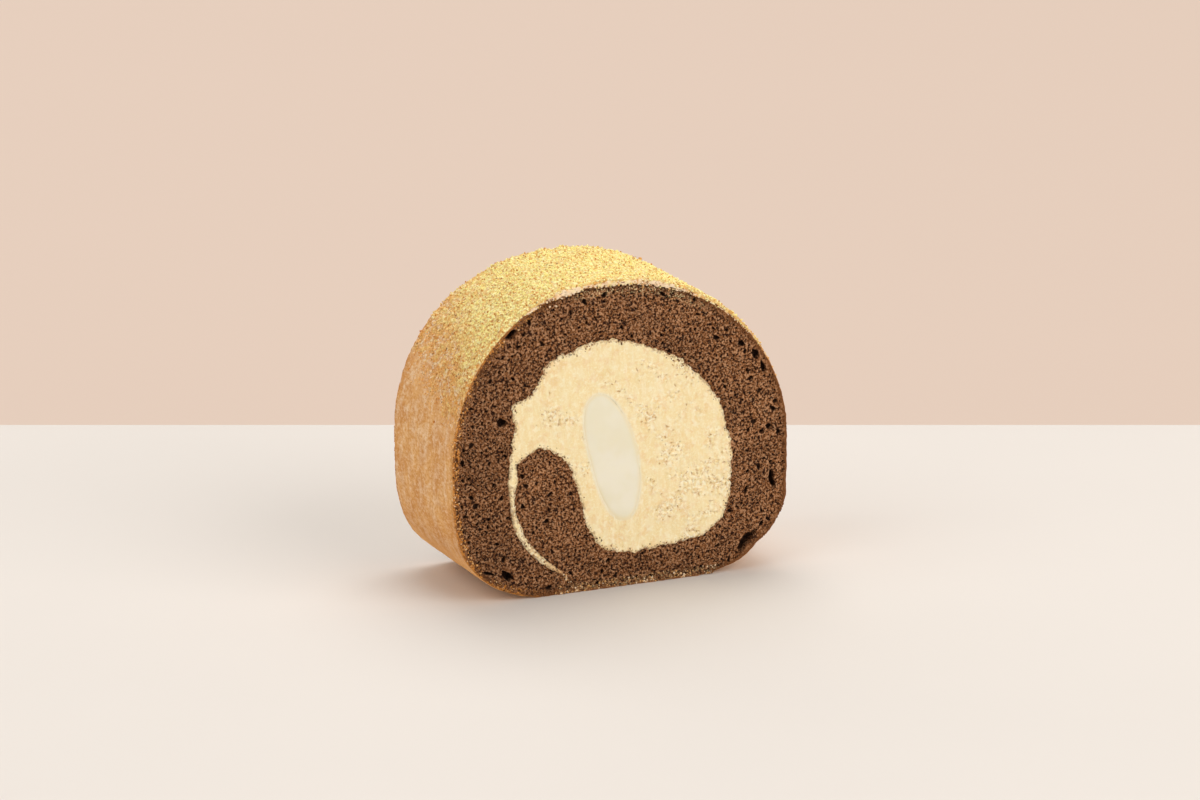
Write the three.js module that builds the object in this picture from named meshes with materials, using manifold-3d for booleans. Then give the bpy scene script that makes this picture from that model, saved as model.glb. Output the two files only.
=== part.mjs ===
/**
 * Slice of a chocolate swiss roll.
 *
 * One sponge sheet is rolled round a cream filling with an oval rice-cake core, and the
 * roll is cut square at both ends. The sheet starts in the middle as a tongue, runs along
 * the base, up the right side, over the top and down the left side, and ends under the
 * slice at a closed seam. Cream is left between the tongue and the left side.
 *
 * Millimetres, +Z up. The origin is on the flat base, midway between the two cuts.
 * +X runs across the cut face and +Y along the roll's axis.
 */
import * as THREE from 'three';
import { mergeVertices } from 'three/addons/utils/BufferGeometryUtils.js';
import Module from 'manifold-3d';

const wasm = await Module();
wasm.setup();

// Driving dimensions.
const SLICE_WIDTH = 86;
const SLICE_HEIGHT = 74;
const SLICE_LENGTH = 35;
const CLEARANCE = 0.3; // left between neighbouring pieces
const CUTTER_OVERRUN = 2; // cutting prisms pass both cut faces by this much

// Ovals are given by their widest level, their reach on each side of it, and the
// squareness of their quarters: upper right, upper left, lower left, lower right.
// A squareness of 2 is an ellipse, and more is boxier.
const ROLL_WIDEST_LEVEL = 33;
const BASE_FLATTENING = 1; // how far the oval would reach under the base
const ROLL = {
  centre: [0, ROLL_WIDEST_LEVEL],
  halfWidth: SLICE_WIDTH / 2,
  above: SLICE_HEIGHT - ROLL_WIDEST_LEVEL,
  below: ROLL_WIDEST_LEVEL + BASE_FLATTENING,
  squareness: [1.9, 2.2, 3.3, 3.4],
  lean: 0,
  steps: 168,
};
const CORE = {
  centre: [-2.0, 32.1],
  halfWidth: 6.3,
  above: 16.3,
  below: 16.3,
  squareness: [2.0, 2.8, 2.5, 1.8],
  lean: THREE.MathUtils.degToRad(14.5), // its top leans to the left
  steps: 64,
};

// Inner face of the rolled sheet, anticlockwise from the crease of its first fold.
const HOLLOW = [
  [-27.9, 47.6],
  [-27.0, 42.0],
  [-28.0, 36.5],
  [-27.6, 32.6],
  [-26.0, 33.4],
  [-23.6, 35.4],
  [-19.8, 36.1],
  [-15.4, 33.6],
  [-12.2, 28.8],
  [-10.6, 23.0],
  [-9.2, 16.6],
  [-5.6, 11.2],
  [-1.0, 8.5],
  [10.0, 8.9],
  [20.5, 9.9],
  [26.2, 14.0],
  [28.4, 23.0],
  [27.6, 34.5],
  [24.2, 44.0],
  [17.8, 51.4],
  [9.0, 56.8],
  [1.0, 59.6],
  [-6.4, 60.3],
  [-12.0, 58.2],
  [-18.4, 56.2],
  [-20.8, 52.2],
  [-24.0, 48.7],
];
const HOLLOW_STEPS = 150;

// Cream between the tongue and the left side: centre line and half the thickness.
const SEAM = [
  [-27.3, 37.0, 0.5],
  [-27.6, 33.0, 0.95],
  [-27.7, 28.6, 1.15],
  [-27.8, 23.4, 0.6],
  [-26.9, 18.7, 0.85],
  [-24.4, 13.5, 0.8],
  [-21.6, 10.2, 0.75],
  [-18.0, 7.0, 0.6],
  [-14.6, 4.7, 0.3],
];
const SEAM_STEPS = 30;

// The seam closes under the slice, where the end of the sheet meets its first turn.
const CLOSED_SEAM = [
  [-15.0, 4.9, CLEARANCE / 2],
  [-12.2, 2.6, CLEARANCE / 2],
  [-11.0, -1.0, CLEARANCE / 2],
];
const CLOSED_SEAM_STEPS = 6;

/** Closed outline of an oval, as points in the plane of the cut. */
function ovalOutline({ centre, halfWidth, above, below, squareness, lean, steps }) {
  const outline = [];
  for (let i = 0; i < steps; i += 1) {
    const angle = (2 * Math.PI * i) / steps;
    const across = Math.cos(angle);
    const up = Math.sin(angle);
    const power = squareness[Math.floor((4 * i) / steps)];
    const reach = up >= 0 ? above : below;
    const sum = Math.abs(across / halfWidth) ** power + Math.abs(up / reach) ** power;
    const radius = sum ** (-1 / power);
    const point = new THREE.Vector2(radius * across, radius * up);
    point.rotateAround(new THREE.Vector2(), lean);
    outline.push(point.add(new THREE.Vector2(...centre)));
  }
  return outline;
}

/** Smooth closed outline through a few points. */
function smoothOutline(points, steps) {
  const knots = points.map(([x, z]) => new THREE.Vector3(x, z, 0));
  const curve = new THREE.CatmullRomCurve3(knots, true, 'centripetal');
  const outline = curve.getSpacedPoints(steps).slice(0, steps);
  return outline.map((p) => new THREE.Vector2(p.x, p.y));
}

/** Outline of a band that follows a centre line of [x, z, half thickness]. */
function bandOutline(points, steps, extra) {
  const curve = new THREE.CatmullRomCurve3(points.map((p) => new THREE.Vector3(...p)));
  const left = [];
  const right = [];
  for (let i = 0; i <= steps; i += 1) {
    const here = curve.getPoint(i / steps);
    const along = curve.getTangent(i / steps);
    const normal = new THREE.Vector2(-along.y, along.x).normalize();
    const centre = new THREE.Vector2(here.x, here.y);
    left.push(centre.clone().addScaledVector(normal, here.z + extra));
    right.push(centre.clone().addScaledVector(normal, -here.z - extra));
  }
  return left.concat(right.reverse());
}

/** The same outline moved outward, or inward for a negative distance. */
function offsetOutline(outline, distance) {
  const turn = Math.sign(THREE.ShapeUtils.area(outline));
  return outline.map((point, i) => {
    const before = outline[(i + outline.length - 1) % outline.length];
    const after = outline[(i + 1) % outline.length];
    const along = after.clone().sub(before).normalize();
    const outward = new THREE.Vector2(along.y, -along.x).multiplyScalar(turn);
    return point.clone().addScaledVector(outward, distance);
  });
}

/** Solid of constant section along the roll's axis, centred between the two cuts. */
function prism(outline, length) {
  const shape = new THREE.Shape(outline);
  const geometry = new THREE.ExtrudeGeometry(shape, { depth: length, bevelEnabled: false });
  geometry.translate(0, 0, -length / 2);
  geometry.rotateX(Math.PI / 2);
  geometry.deleteAttribute('normal');
  geometry.deleteAttribute('uv');
  const merged = mergeVertices(geometry);
  return new wasm.Manifold(new wasm.Mesh({
    numProp: 3,
    vertProperties: new Float32Array(merged.attributes.position.array),
    triVerts: new Uint32Array(merged.index.array),
  }));
}

const sliceOf = (outline) => prism(outline, SLICE_LENGTH);
const cutterOf = (outline) => prism(outline, SLICE_LENGTH + 2 * CUTTER_OVERRUN);

/** Outside of the whole roll, pressed flat where it stands. */
function rollOutline() {
  return ovalOutline(ROLL).map((p) => new THREE.Vector2(p.x, Math.max(0, p.y)));
}

/** The rolled sponge sheet: the roll less the space that the filling takes. */
function spongeSheet() {
  const hollow = cutterOf(offsetOutline(smoothOutline(HOLLOW, HOLLOW_STEPS), CLEARANCE / 2));
  const seam = cutterOf(bandOutline(SEAM, SEAM_STEPS, CLEARANCE / 2));
  const closedSeam = cutterOf(bandOutline(CLOSED_SEAM, CLOSED_SEAM_STEPS, 0));
  return sliceOf(rollOutline()).subtract(hollow).subtract(seam).subtract(closedSeam);
}

/** The cream: the sheet's hollow and the seam, less the space that the core takes. */
function creamFilling() {
  const hollow = sliceOf(offsetOutline(smoothOutline(HOLLOW, HOLLOW_STEPS), -CLEARANCE / 2));
  const seam = sliceOf(bandOutline(SEAM, SEAM_STEPS, -CLEARANCE / 2));
  const core = cutterOf(offsetOutline(ovalOutline(CORE), CLEARANCE / 2));
  return hollow.add(seam).subtract(core);
}

/** The rice-cake core, which runs through the whole slice. */
function mochiCore() {
  return sliceOf(offsetOutline(ovalOutline(CORE), -CLEARANCE / 2));
}

/** Named mesh of a finished solid. */
function pieceOf(name, solid, material) {
  const { vertProperties, triVerts } = solid.getMesh();
  const geometry = new THREE.BufferGeometry();
  geometry.setAttribute('position', new THREE.BufferAttribute(vertProperties, 3));
  geometry.setIndex(new THREE.BufferAttribute(triVerts, 1));
  geometry.computeVertexNormals();
  const mesh = new THREE.Mesh(geometry, new THREE.MeshStandardMaterial(material));
  mesh.name = name;
  return mesh;
}

const CHOCOLATE_SPONGE = { color: 0x5f4434, roughness: 0.9, metalness: 0 };
const CREAM = { color: 0xf3dba5, roughness: 0.55, metalness: 0 };
const RICE_CAKE = { color: 0xe9e2c9, roughness: 0.35, metalness: 0 };

const swissRollSlice = new THREE.Group();
swissRollSlice.add(
  pieceOf('sponge_sheet', spongeSheet(), CHOCOLATE_SPONGE),
  pieceOf('cream_filling', creamFilling(), CREAM),
  pieceOf('mochi_core', mochiCore(), RICE_CAKE),
);

export default swissRollSlice;
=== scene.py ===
"""Looks of a slice of chocolate swiss roll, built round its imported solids.

The slice is a rolled chocolate sponge with a thin baked skin, a cream filling with a rice-cake
core, and a coat of roasted powder. Shapes are worked out in millimetres in the frame's axes,
with +X across the cut, +Y along the roll and +Z up, and meshes are scaled to metres when made.
"""

import itertools
import math

import bmesh
import bpy
import numpy as np
from bpy.props import FloatProperty, FloatVectorProperty, IntProperty, PointerProperty
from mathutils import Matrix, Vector, kdtree
from mathutils.geometry import convex_hull_2d, delaunay_2d_cdt


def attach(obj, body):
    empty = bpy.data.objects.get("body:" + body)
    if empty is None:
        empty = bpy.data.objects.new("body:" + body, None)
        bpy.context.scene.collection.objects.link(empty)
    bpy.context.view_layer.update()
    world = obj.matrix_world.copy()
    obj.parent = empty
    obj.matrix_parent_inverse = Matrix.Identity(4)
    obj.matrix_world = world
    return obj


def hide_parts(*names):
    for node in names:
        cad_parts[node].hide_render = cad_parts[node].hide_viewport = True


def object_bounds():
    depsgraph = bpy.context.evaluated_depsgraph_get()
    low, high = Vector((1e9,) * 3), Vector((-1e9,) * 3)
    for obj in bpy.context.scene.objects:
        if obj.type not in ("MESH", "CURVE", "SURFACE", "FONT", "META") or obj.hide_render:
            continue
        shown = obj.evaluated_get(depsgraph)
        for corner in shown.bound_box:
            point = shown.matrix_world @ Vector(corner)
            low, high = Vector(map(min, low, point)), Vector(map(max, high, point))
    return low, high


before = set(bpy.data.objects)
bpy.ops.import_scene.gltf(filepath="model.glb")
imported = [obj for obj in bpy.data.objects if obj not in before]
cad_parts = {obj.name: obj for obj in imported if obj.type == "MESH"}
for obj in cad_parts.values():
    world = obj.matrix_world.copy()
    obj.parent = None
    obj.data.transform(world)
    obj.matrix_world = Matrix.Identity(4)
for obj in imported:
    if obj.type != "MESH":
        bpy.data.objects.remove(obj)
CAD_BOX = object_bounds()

bl_info = {
    "name": "Swiss Roll Slice",
    "version": (1, 0, 0),
    "blender": (4, 5, 0),
    "location": "View3D > Sidebar > Swiss Roll",
    "description": "Builds a slice of chocolate swiss roll with cream, rice cake and powder",
    "category": "Add Mesh",
}

MM = 0.001
FRONT, BACK = (y / MM for y in (CAD_BOX[0].y, CAD_BOX[1].y))  # levels of the two cuts
MIDDLE = (FRONT + BACK) / 2
BAKE_MAP = "OFBake"  # the map that the finishes are baked through
WELD_DECIMALS = 3
CROWN_SWELL, CROWN_SINK = 0.95, 0.5
SHARP_ANGLE = math.radians(55)  # sharper edges between faces are shaded as edges
ROW_RATIO = math.sqrt(3) / 2  # row spacing of a triangular lattice


def tint(red, green, blue):
    """Linear colour from the 0 to 255 values that a screen shows."""
    shown = np.array((red, green, blue)) / 255
    linear = np.where(shown <= 0.04045, shown / 12.92, ((shown + 0.055) / 1.055) ** 2.4)
    return tuple(float(c) for c in linear)


def length(name, description, millimetres):
    """A length property, given in millimetres."""
    return FloatProperty(
        name=name, description=description, default=millimetres * MM, min=0.0, unit="LENGTH"
    )


def colour(name, description, red, green, blue):
    """A colour property, given as a screen shows it."""
    return FloatVectorProperty(
        name=name, description=description, default=tint(red, green, blue),
        min=0.0, max=1.0, size=3, subtype="COLOR",
    )


def amount(name, description, default):
    """A whole-number property."""
    return IntProperty(name=name, description=description, default=default, min=0)


class RollSizes(bpy.types.PropertyGroup):
    """Sizes that a user would change."""

    crumb_step: length("Crumb Step", "Spacing of the points on the sponge's cuts", 0.3)
    cream_step: length("Cream Step", "Spacing of the points on the cream's cuts", 0.32)
    core_step: length("Core Step", "Spacing of the points on the core's cuts", 0.4)
    skin_thickness: length("Skin Thickness", "Thickness of the baked skin", 0.5)
    powder_depth: length("Powder Depth", "Depth of the powder on the crown", 0.35)
    grain_width: length("Grain Width", "Width of a usual grain of powder", 0.42)
    small_pores: amount("Small Pores", "Small pores in each cut of the sponge", 2200)
    round_pores: amount("Round Pores", "Wider pores in each cut of the sponge", 250)
    cream_pits: amount("Cream Pits", "Torn pits in each cut of the cream", 260)
    grains: amount("Grains", "Loose grains of powder on the roll", 6800)
    rim_lumps: amount("Rim Lumps", "Lumps of pale dust on the crown's rims", 680)
    skin_bits: amount("Skin Bits", "Toasted bits along the skin's cut edges", 3600)
    foot_crumbs: amount("Foot Crumbs", "Loose crumbs along the foot of each cut", 420)
    torn_bits: amount("Torn Bits", "Torn bits where the crumb meets the cream", 2400)


class RollColours(bpy.types.PropertyGroup):
    """Colours that a user would change."""

    sponge: colour("Sponge", "Crumb of the chocolate sponge", 124, 78, 43)
    # Pale flecks of the crumb, partly painted highlights on the tips of its relief.
    sponge_light: colour("Sponge Light", "Palest flecks of the crumb", 193, 145, 106)
    sponge_dark: colour("Sponge Dark", "Shaded crumb between the flecks", 40, 17, 6)
    pore: colour("Pore", "Inside of the pores", 30, 12, 4)
    # Painted shade: this near-black is laid inside the pores and pits, where shade falls.
    rind: colour("Rind", "Crumb just under the skin", 124, 78, 43)
    skin: colour("Skin", "Side of the roll under a film of powder", 229, 175, 109)
    skin_deep: colour("Skin Deep", "Deeper clouds of the side", 214, 153, 88)
    skin_edge: colour("Skin Edge", "Baked skin where it is cut", 202, 134, 62)
    pale: colour("Pale Dust", "Caked dust on the rims and pale clouds", 246, 222, 188)
    powder: colour("Powder", "Roasted powder on the crown", 255, 245, 162)
    powder_light: colour("Powder Light", "Palest grains of the powder", 255, 250, 188)
    # Darker grains of the powder, and painted shade in the gaps between grains.
    powder_dark: colour("Powder Dark", "Gaps between the grains", 218, 144, 60)
    cream: colour("Cream", "Cream filling", 243, 221, 167)
    cream_light: colour("Cream Light", "Palest bits of the cream", 252, 241, 209)
    # Painted shade in the cream's pits and cracks.
    cream_dark: colour("Cream Dark", "Pits and cracks of the cream", 194, 138, 76)
    rice_cake: colour("Rice Cake", "Core of the roll", 238, 232, 212)
    crumb: colour("Crumbs", "Loose crumbs", 158, 118, 80)
    table: colour("Table", "Floor round the slice", 223, 217, 211)
    backdrop: colour("Backdrop", "Floor behind the table", 222, 199, 182)


# ---------------------------------------------------------------- repeatable random fields


def random_at(cells, seed):
    """Repeatable random number from 0 to 1 for each row of whole numbers."""
    mixed = np.full(len(cells), seed * 7919 + 17, dtype=np.uint64)
    for column in cells.T:
        mixed = (mixed ^ column.astype(np.uint64)) * np.uint64(0x9E3779B97F4A7C15)
        mixed ^= mixed >> np.uint64(29)
    return (mixed >> np.uint64(11)).astype(float) / 2.0**53


def lumps(points, size, seed):
    """Smooth random field from -1 to 1 whose lumps are about `size` across."""
    scaled = points / size
    cell = np.floor(scaled).astype(np.int64)
    part = scaled - cell
    fade = part * part * (3 - 2 * part)
    total = np.zeros(len(points))
    for corner in itertools.product((0, 1), repeat=points.shape[1]):
        weight = np.prod(np.where(corner, fade, 1 - fade), axis=1)
        total += weight * random_at(cell + np.array(corner), seed)
    return 2 * total - 1


def pebbles(points, size, seed):
    """Packed round bumps about `size` across, from 0 between them to 1 on top."""
    scaled = points / size
    cell = np.floor(scaled).astype(np.int64)
    nearest = np.full(len(points), np.inf)
    for offset in itertools.product((-1, 0, 1), repeat=points.shape[1]):
        here = cell + np.array(offset)
        spot = np.stack([random_at(here, seed + k) for k in range(points.shape[1])], axis=1)
        nearest = np.minimum(nearest, np.sum((here + spot - scaled) ** 2, axis=1))
    return np.sqrt(np.clip(1 - nearest / 0.75, 0, 1))


def ramp_up(values, low, high):
    """0 below low, 1 above high, and smooth between."""
    share = np.clip((values - low) / (high - low), 0, 1)
    return share * share * (3 - 2 * share)


def ramp_down(values, low, high):
    """1 below low, 0 above high, and smooth between."""
    return 1 - ramp_up(values, low, high)


def layered(points, *layers):
    """Sum of random fields, each given by its height, its size and its seed."""
    return sum(height * lumps(points, size, seed) for height, size, seed in layers)


# ---------------------------------------------------------------- outlines of the cut


def cut_outlines(node):
    """Closed outlines of a CAD node's cut, as (x, z) points, the outside first."""
    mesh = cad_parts[node].data
    mesh.calc_loop_triangles()
    points = np.array([v.co[:] for v in mesh.vertices]) / MM
    first = {}
    weld = [first.setdefault(tuple(np.round(p, WELD_DECIMALS)), i) for i, p in enumerate(points)]
    on_cut = np.abs(points[:, 1] - FRONT) < 10**-WELD_DECIMALS
    edges = {}
    for triangle in mesh.loop_triangles:
        corners = [weld[i] for i in triangle.vertices]
        if all(on_cut[corners]):
            edges.update(dict.fromkeys(zip(corners, corners[1:] + corners[:1])))
    following = {a: b for a, b in edges if (b, a) not in edges}
    outlines = []
    while following:
        here = next(iter(following))
        path = []
        while here in following:
            path.append(here)
            here = following.pop(here)
        outlines.append(points[path][:, (0, 2)])
    return sorted(outlines, key=len, reverse=True)


def resampled(outline, step):
    """The closed outline with its points evenly spaced, about `step` apart."""
    closed = np.vstack([outline, outline[:1]])
    reach = np.concatenate([[0], np.cumsum(np.linalg.norm(np.diff(closed, axis=0), axis=1))])
    count = max(8, round(reach[-1] / step))
    places = np.arange(count) * reach[-1] / count
    return np.stack([np.interp(places, reach, closed[:, k]) for k in (0, 1)], axis=1)


def softened(outline, softness):
    """The evenly spaced outline with its corners rounded over about `softness`."""
    spacing = np.linalg.norm(outline[1] - outline[0])
    waves = np.fft.fftfreq(len(outline)) * 2 * np.pi * softness / spacing
    curve = np.fft.ifft(np.fft.fft(outline[:, 0] + 1j * outline[:, 1]) * np.exp(-(waves**2) / 2))
    return np.stack([curve.real, curve.imag], axis=1)


def outward(outline):
    """Unit normals that point to the right of the outline's direction."""
    along = np.roll(outline, -1, axis=0) - np.roll(outline, 1, axis=0)
    along /= np.maximum(np.linalg.norm(along, axis=1, keepdims=True), 1e-9)
    return np.stack([along[:, 1], -along[:, 0]], axis=1)


def bell(places, centre, width):
    """1 at the centre, fading away over about `width`."""
    return np.exp(-np.sum((places - centre) ** 2, axis=1) / (2 * width**2))


class RollOutside:
    """The outside of the whole roll, with its outward normals: convex but for a torn corner."""

    TORN_SWELL, TORN_DENT = (42, 15), (35.5, 6)

    def __init__(self, step):
        outline = cut_outlines("sponge_sheet")[0]
        hull = outline[convex_hull_2d([Vector(p) for p in outline])]
        self.points = softened(resampled(hull, step), 0.8)
        swell = 0.9 * bell(self.points, self.TORN_SWELL, 3.5)
        swell -= 0.4 * bell(self.points, self.TORN_DENT, 2.5)
        self.points += outward(self.points) * swell[:, None]
        self.points[:, 1] = np.maximum(self.points[:, 1], 0)
        self.normals = outward(self.points)

    def depth(self, places):
        """Depth of (x, z) places under the outside, and the outward normal there."""
        _, which = nearest(places, self.points)
        deep = np.sum((self.points[which] - places) * self.normals[which], axis=1)
        return deep, self.normals[which]


def lattice_inside(outlines, step):
    """Points of a triangular lattice inside closed outlines; an inner outline is a hole."""
    start = np.concatenate(outlines)
    end = np.concatenate([np.roll(outline, -1, axis=0) for outline in outlines])
    low, high = start.min(axis=0), start.max(axis=0)
    rows = []
    for number, level in enumerate(np.arange(low[1] + step / 2, high[1], step * ROW_RATIO)):
        crossed = (start[:, 1] <= level) != (end[:, 1] <= level)
        a, b = start[crossed], end[crossed]
        across = a[:, 0] + (level - a[:, 1]) / (b[:, 1] - a[:, 1]) * (b[:, 0] - a[:, 0])
        shift = low[0] + step * (number % 2) / 2
        for left, right in np.sort(across).reshape(-1, 2):
            first, last = math.ceil((left - shift) / step), math.floor((right - shift) / step)
            along = shift + np.arange(first, last + 1) * step
            rows.append(np.stack([along, np.full(len(along), level)], axis=1))
    return np.concatenate(rows)


def inside(outlines, places):
    """Which places lie inside the outlines and outside their holes."""
    crossings = np.zeros(len(places), dtype=int)
    for outline in outlines:
        for a, b in zip(outline, np.roll(outline, -1, axis=0)):
            if a[1] != b[1]:
                beside = (places[:, 1] < a[1]) != (places[:, 1] < b[1])
                across = a[0] + (places[:, 1] - a[1]) / (b[1] - a[1]) * (b[0] - a[0])
                crossings += beside & (places[:, 0] < across)
    return crossings % 2 == 1


def tree_of(places):
    """A search tree of (x, z) places."""
    tree = kdtree.KDTree(len(places))
    for i, place in enumerate(places):
        tree.insert((*place, 0), i)
    tree.balance()
    return tree


def nearest(places, others):
    """Distance from each place to the nearest of the others, and its index."""
    tree = tree_of(others)
    found = np.array([tree.find((*place, 0))[1:] for place in places])
    return found[:, 1], found[:, 0].astype(int)


def distance_to(places, others):
    """Distance from each place to the nearest of the others."""
    return nearest(places, others)[0]


def close_to(outline, low, high):
    """Field of a cut: 1 within `low` of the outline, fading to 0 at `high`."""
    return lambda points: ramp_down(distance_to(points[:, (0, 2)], outline), low, high)


# ---------------------------------------------------------------- pores


class Pores:
    """Pits in a cut face: each has a centre, a radius, a stretch, a turn and a depth."""

    def __init__(self):
        self.rows = []
        self.cells = {}

    def clear_of(self, centre, radius, spare):
        """Whether a pit of this size keeps clear of those already there."""
        column, row = (math.floor(c / 2) for c in centre)
        for cell in itertools.product(range(column - 1, column + 2), range(row - 1, row + 2)):
            for x, z, other in self.cells.get(cell, ()):
                if math.hypot(x - centre[0], z - centre[1]) < (radius + other) * spare:
                    return False
        return True

    def add(self, centre, radius, stretch, turn, depth):
        """Adds one pit."""
        self.rows.append((*centre, radius, stretch, turn, depth))
        cell = tuple(math.floor(c / 2) for c in centre)
        self.cells.setdefault(cell, []).append((*centre, radius * math.sqrt(stretch)))

    def scatter(self, rng, places, edge, count, radii, depths, stretch=2.0):
        """Adds up to `count` pits at random places that lie deep enough inside the edge."""
        added = 0
        for i in rng.permutation(len(places)):
            if added >= count:
                break
            radius = radii[0] + (radii[1] - radii[0]) * rng.random() ** 3
            ratio = 1 + (stretch - 1) * rng.random()
            turn = rng.random() * math.pi
            depth = rng.uniform(*depths)
            wide = radius * math.sqrt(ratio)
            if edge[i] > wide * 1.35 and self.clear_of(places[i], wide, 1.16):
                self.add(places[i], radius, ratio, turn, depth)
                added += 1

    def points(self, rng, step):
        """Rim, wall and floor points of all pits, with their depths and how shaded they are."""
        spots, deep, shade = [], [], []
        for x, z, radius, stretch, turn, depth in self.rows:
            count = max(6, round(2 * math.pi * radius * math.sqrt(stretch) / step))
            phase, *waves = rng.random(4) * 2 * math.pi
            angles = phase + np.arange(count) * 2 * math.pi / count
            ragged = 1 + sum(
                height * np.cos(number * angles + wave)
                for number, height, wave in zip((2, 3, 5), (0.1, 0.12, 0.08), waves)
            )
            # Painted shade: a pit's rim is left as it is and its inside darkened; pits whose radius
            # passes 2 mm only three quarters, as light reaches their floors.
            full = 0.75 if radius > 2 else 1.0
            circles = [(1.0, 0.0, 0.0), (0.8, 0.7, 0.8 * full)]
            for share in np.arange(0.8 - step / radius, 0.2, -step / radius):
                circles.append((share, 0.95, full))
            for share, drop, dark in circles:
                wide = radius * share * ragged * math.sqrt(stretch)
                narrow = radius * share * ragged / math.sqrt(stretch)
                u, v = wide * np.cos(angles), narrow * np.sin(angles)
                spots.append(np.stack([
                    x + u * math.cos(turn) - v * math.sin(turn),
                    z + u * math.sin(turn) + v * math.cos(turn),
                ], axis=1))
                deep.append(np.full(count, depth * drop))
                shade.append(np.full(count, dark))
            spots.append(np.array([[x, z]]))
            deep.append(np.array([depth]))
            shade.append(np.array([full]))
        return np.concatenate(spots), np.concatenate(deep), np.concatenate(shade)

    def pitted(self, rng, lattice, edge, step, jitter):
        """The lattice with its points moved a little and these pits cut in: points, depths, shades."""
        keep = (edge > step * 0.5) & self.outside(lattice)
        flat = lattice[keep] + rng.uniform(-jitter, jitter, (keep.sum(), 2)) * step
        spots, deep, shade = self.points(rng, step)
        level = np.zeros(len(flat))
        points = np.vstack([flat, spots])
        return points, np.concatenate([level, deep]), np.concatenate([level, shade])

    def outside(self, places):
        """Which places lie clear of every pit."""
        tree = tree_of(places)
        free = np.ones(len(places), dtype=bool)
        for x, z, radius, stretch, turn, _depth in self.rows:
            reach = radius * math.sqrt(stretch) * 1.4
            for spot, i, _gap in tree.find_range((x, z, 0), reach):
                u = (spot.x - x) * math.cos(turn) + (spot.y - z) * math.sin(turn)
                v = (spot.y - z) * math.cos(turn) - (spot.x - x) * math.sin(turn)
                ratio = math.sqrt(stretch)
                if math.hypot(u / (radius * ratio), v * ratio / radius) < 1.38:
                    free[i] = False
        return free


# ---------------------------------------------------------------- meshes


def settled(points):
    """The slice as it stands: its crown sinks towards the back and swells at the front's left."""
    behind = ramp_up(points[:, 1], FRONT, BACK)
    swell = CROWN_SWELL * (1 - behind) * bell(points[:, (0, 2)], (-18, 72), 10)
    sink = CROWN_SINK * behind * ramp_up(points[:, 2], 45, 72)
    return points + np.stack([-0.45 * swell, 0 * swell, 0.9 * swell - sink], axis=1)


def build_piece(name, points, groups, material, attributes):
    """Makes a piece from points in millimetres and groups of (faces, their map corners)."""
    points = settled(points)
    mesh = bpy.data.meshes.new(name)
    mesh.vertices.add(len(points))
    mesh.vertices.foreach_set("co", (points * MM).astype(np.float32).ravel())
    corners = np.concatenate([faces.ravel() for faces, _ in groups])
    sizes = np.concatenate([np.full(len(faces), faces.shape[1]) for faces, _ in groups])
    mesh.loops.add(len(corners))
    mesh.loops.foreach_set("vertex_index", corners.astype(np.int32))
    mesh.polygons.add(len(sizes))
    mesh.polygons.foreach_set("loop_start", (np.cumsum(sizes) - sizes).astype(np.int32))
    mesh.update(calc_edges=True)
    places = np.concatenate([places.reshape(-1, 2) for _, places in groups])
    layer = mesh.uv_layers.new(name=BAKE_MAP)
    layer.uv.foreach_set("vector", places.astype(np.float32).ravel())
    for key, values in attributes.items():
        field = mesh.attributes.new(key, "FLOAT", "POINT")
        field.data.foreach_set("value", values.astype(np.float32))
    mesh.polygons.foreach_set("use_smooth", np.ones(len(sizes), dtype=bool))
    mesh.set_sharp_from_angle(angle=SHARP_ANGLE)
    mesh.materials.append(material)
    piece = bpy.data.objects.new(name, mesh)
    bpy.context.scene.collection.objects.link(piece)
    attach(piece, "root")
    return piece


class CutFace:
    """One end of a solid: rim points first, then inner points, with depths and shading."""

    def __init__(self, rims, inner, depth, shade):
        rim = np.concatenate(rims)
        points = np.vstack([rim, inner])
        edges, start = [], 0
        for loop in rims:
            edges += [(start + i, start + (i + 1) % len(loop)) for i in range(len(loop))]
            start += len(loop)
        found = delaunay_2d_cdt([Vector(p) for p in points], edges, [], 2, 1e-6)
        if len(found[0]) != len(points):
            raise RuntimeError("the cut face's rim crosses itself")
        triangles = np.array(found[2])
        if len(rims) > 1:
            triangles = triangles[inside(rims, points[triangles].mean(axis=1))]
        used = np.isin(np.arange(len(points)), triangles)
        if not used[:len(rim)].all():
            raise RuntimeError("the cut face has lost a part of its rim")
        self.points = points[used]
        self.triangles = (np.cumsum(used) - 1)[triangles]
        self.depth = np.concatenate([np.zeros(len(rim)), depth])[used]
        self.shade = np.concatenate([np.zeros(len(rim)), shade])[used]


def plain_face(rims, step):
    """A flat end with a coarse lattice, for where two halves meet."""
    inner = lattice_inside(rims, step)
    inner = inner[distance_to(inner, np.concatenate(rims)) > step / 2]
    nothing = np.zeros(len(inner))
    return CutFace(rims, inner, nothing, nothing)


def map_corners(u0, u1, v0, v1):
    """Map corners of four-sided faces that lie between these places on the map."""
    pairs = ((u0, v0), (u0, v1), (u1, v1), (u1, v0))
    return np.stack([np.stack(pair, axis=1) for pair in pairs], axis=1)


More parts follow.
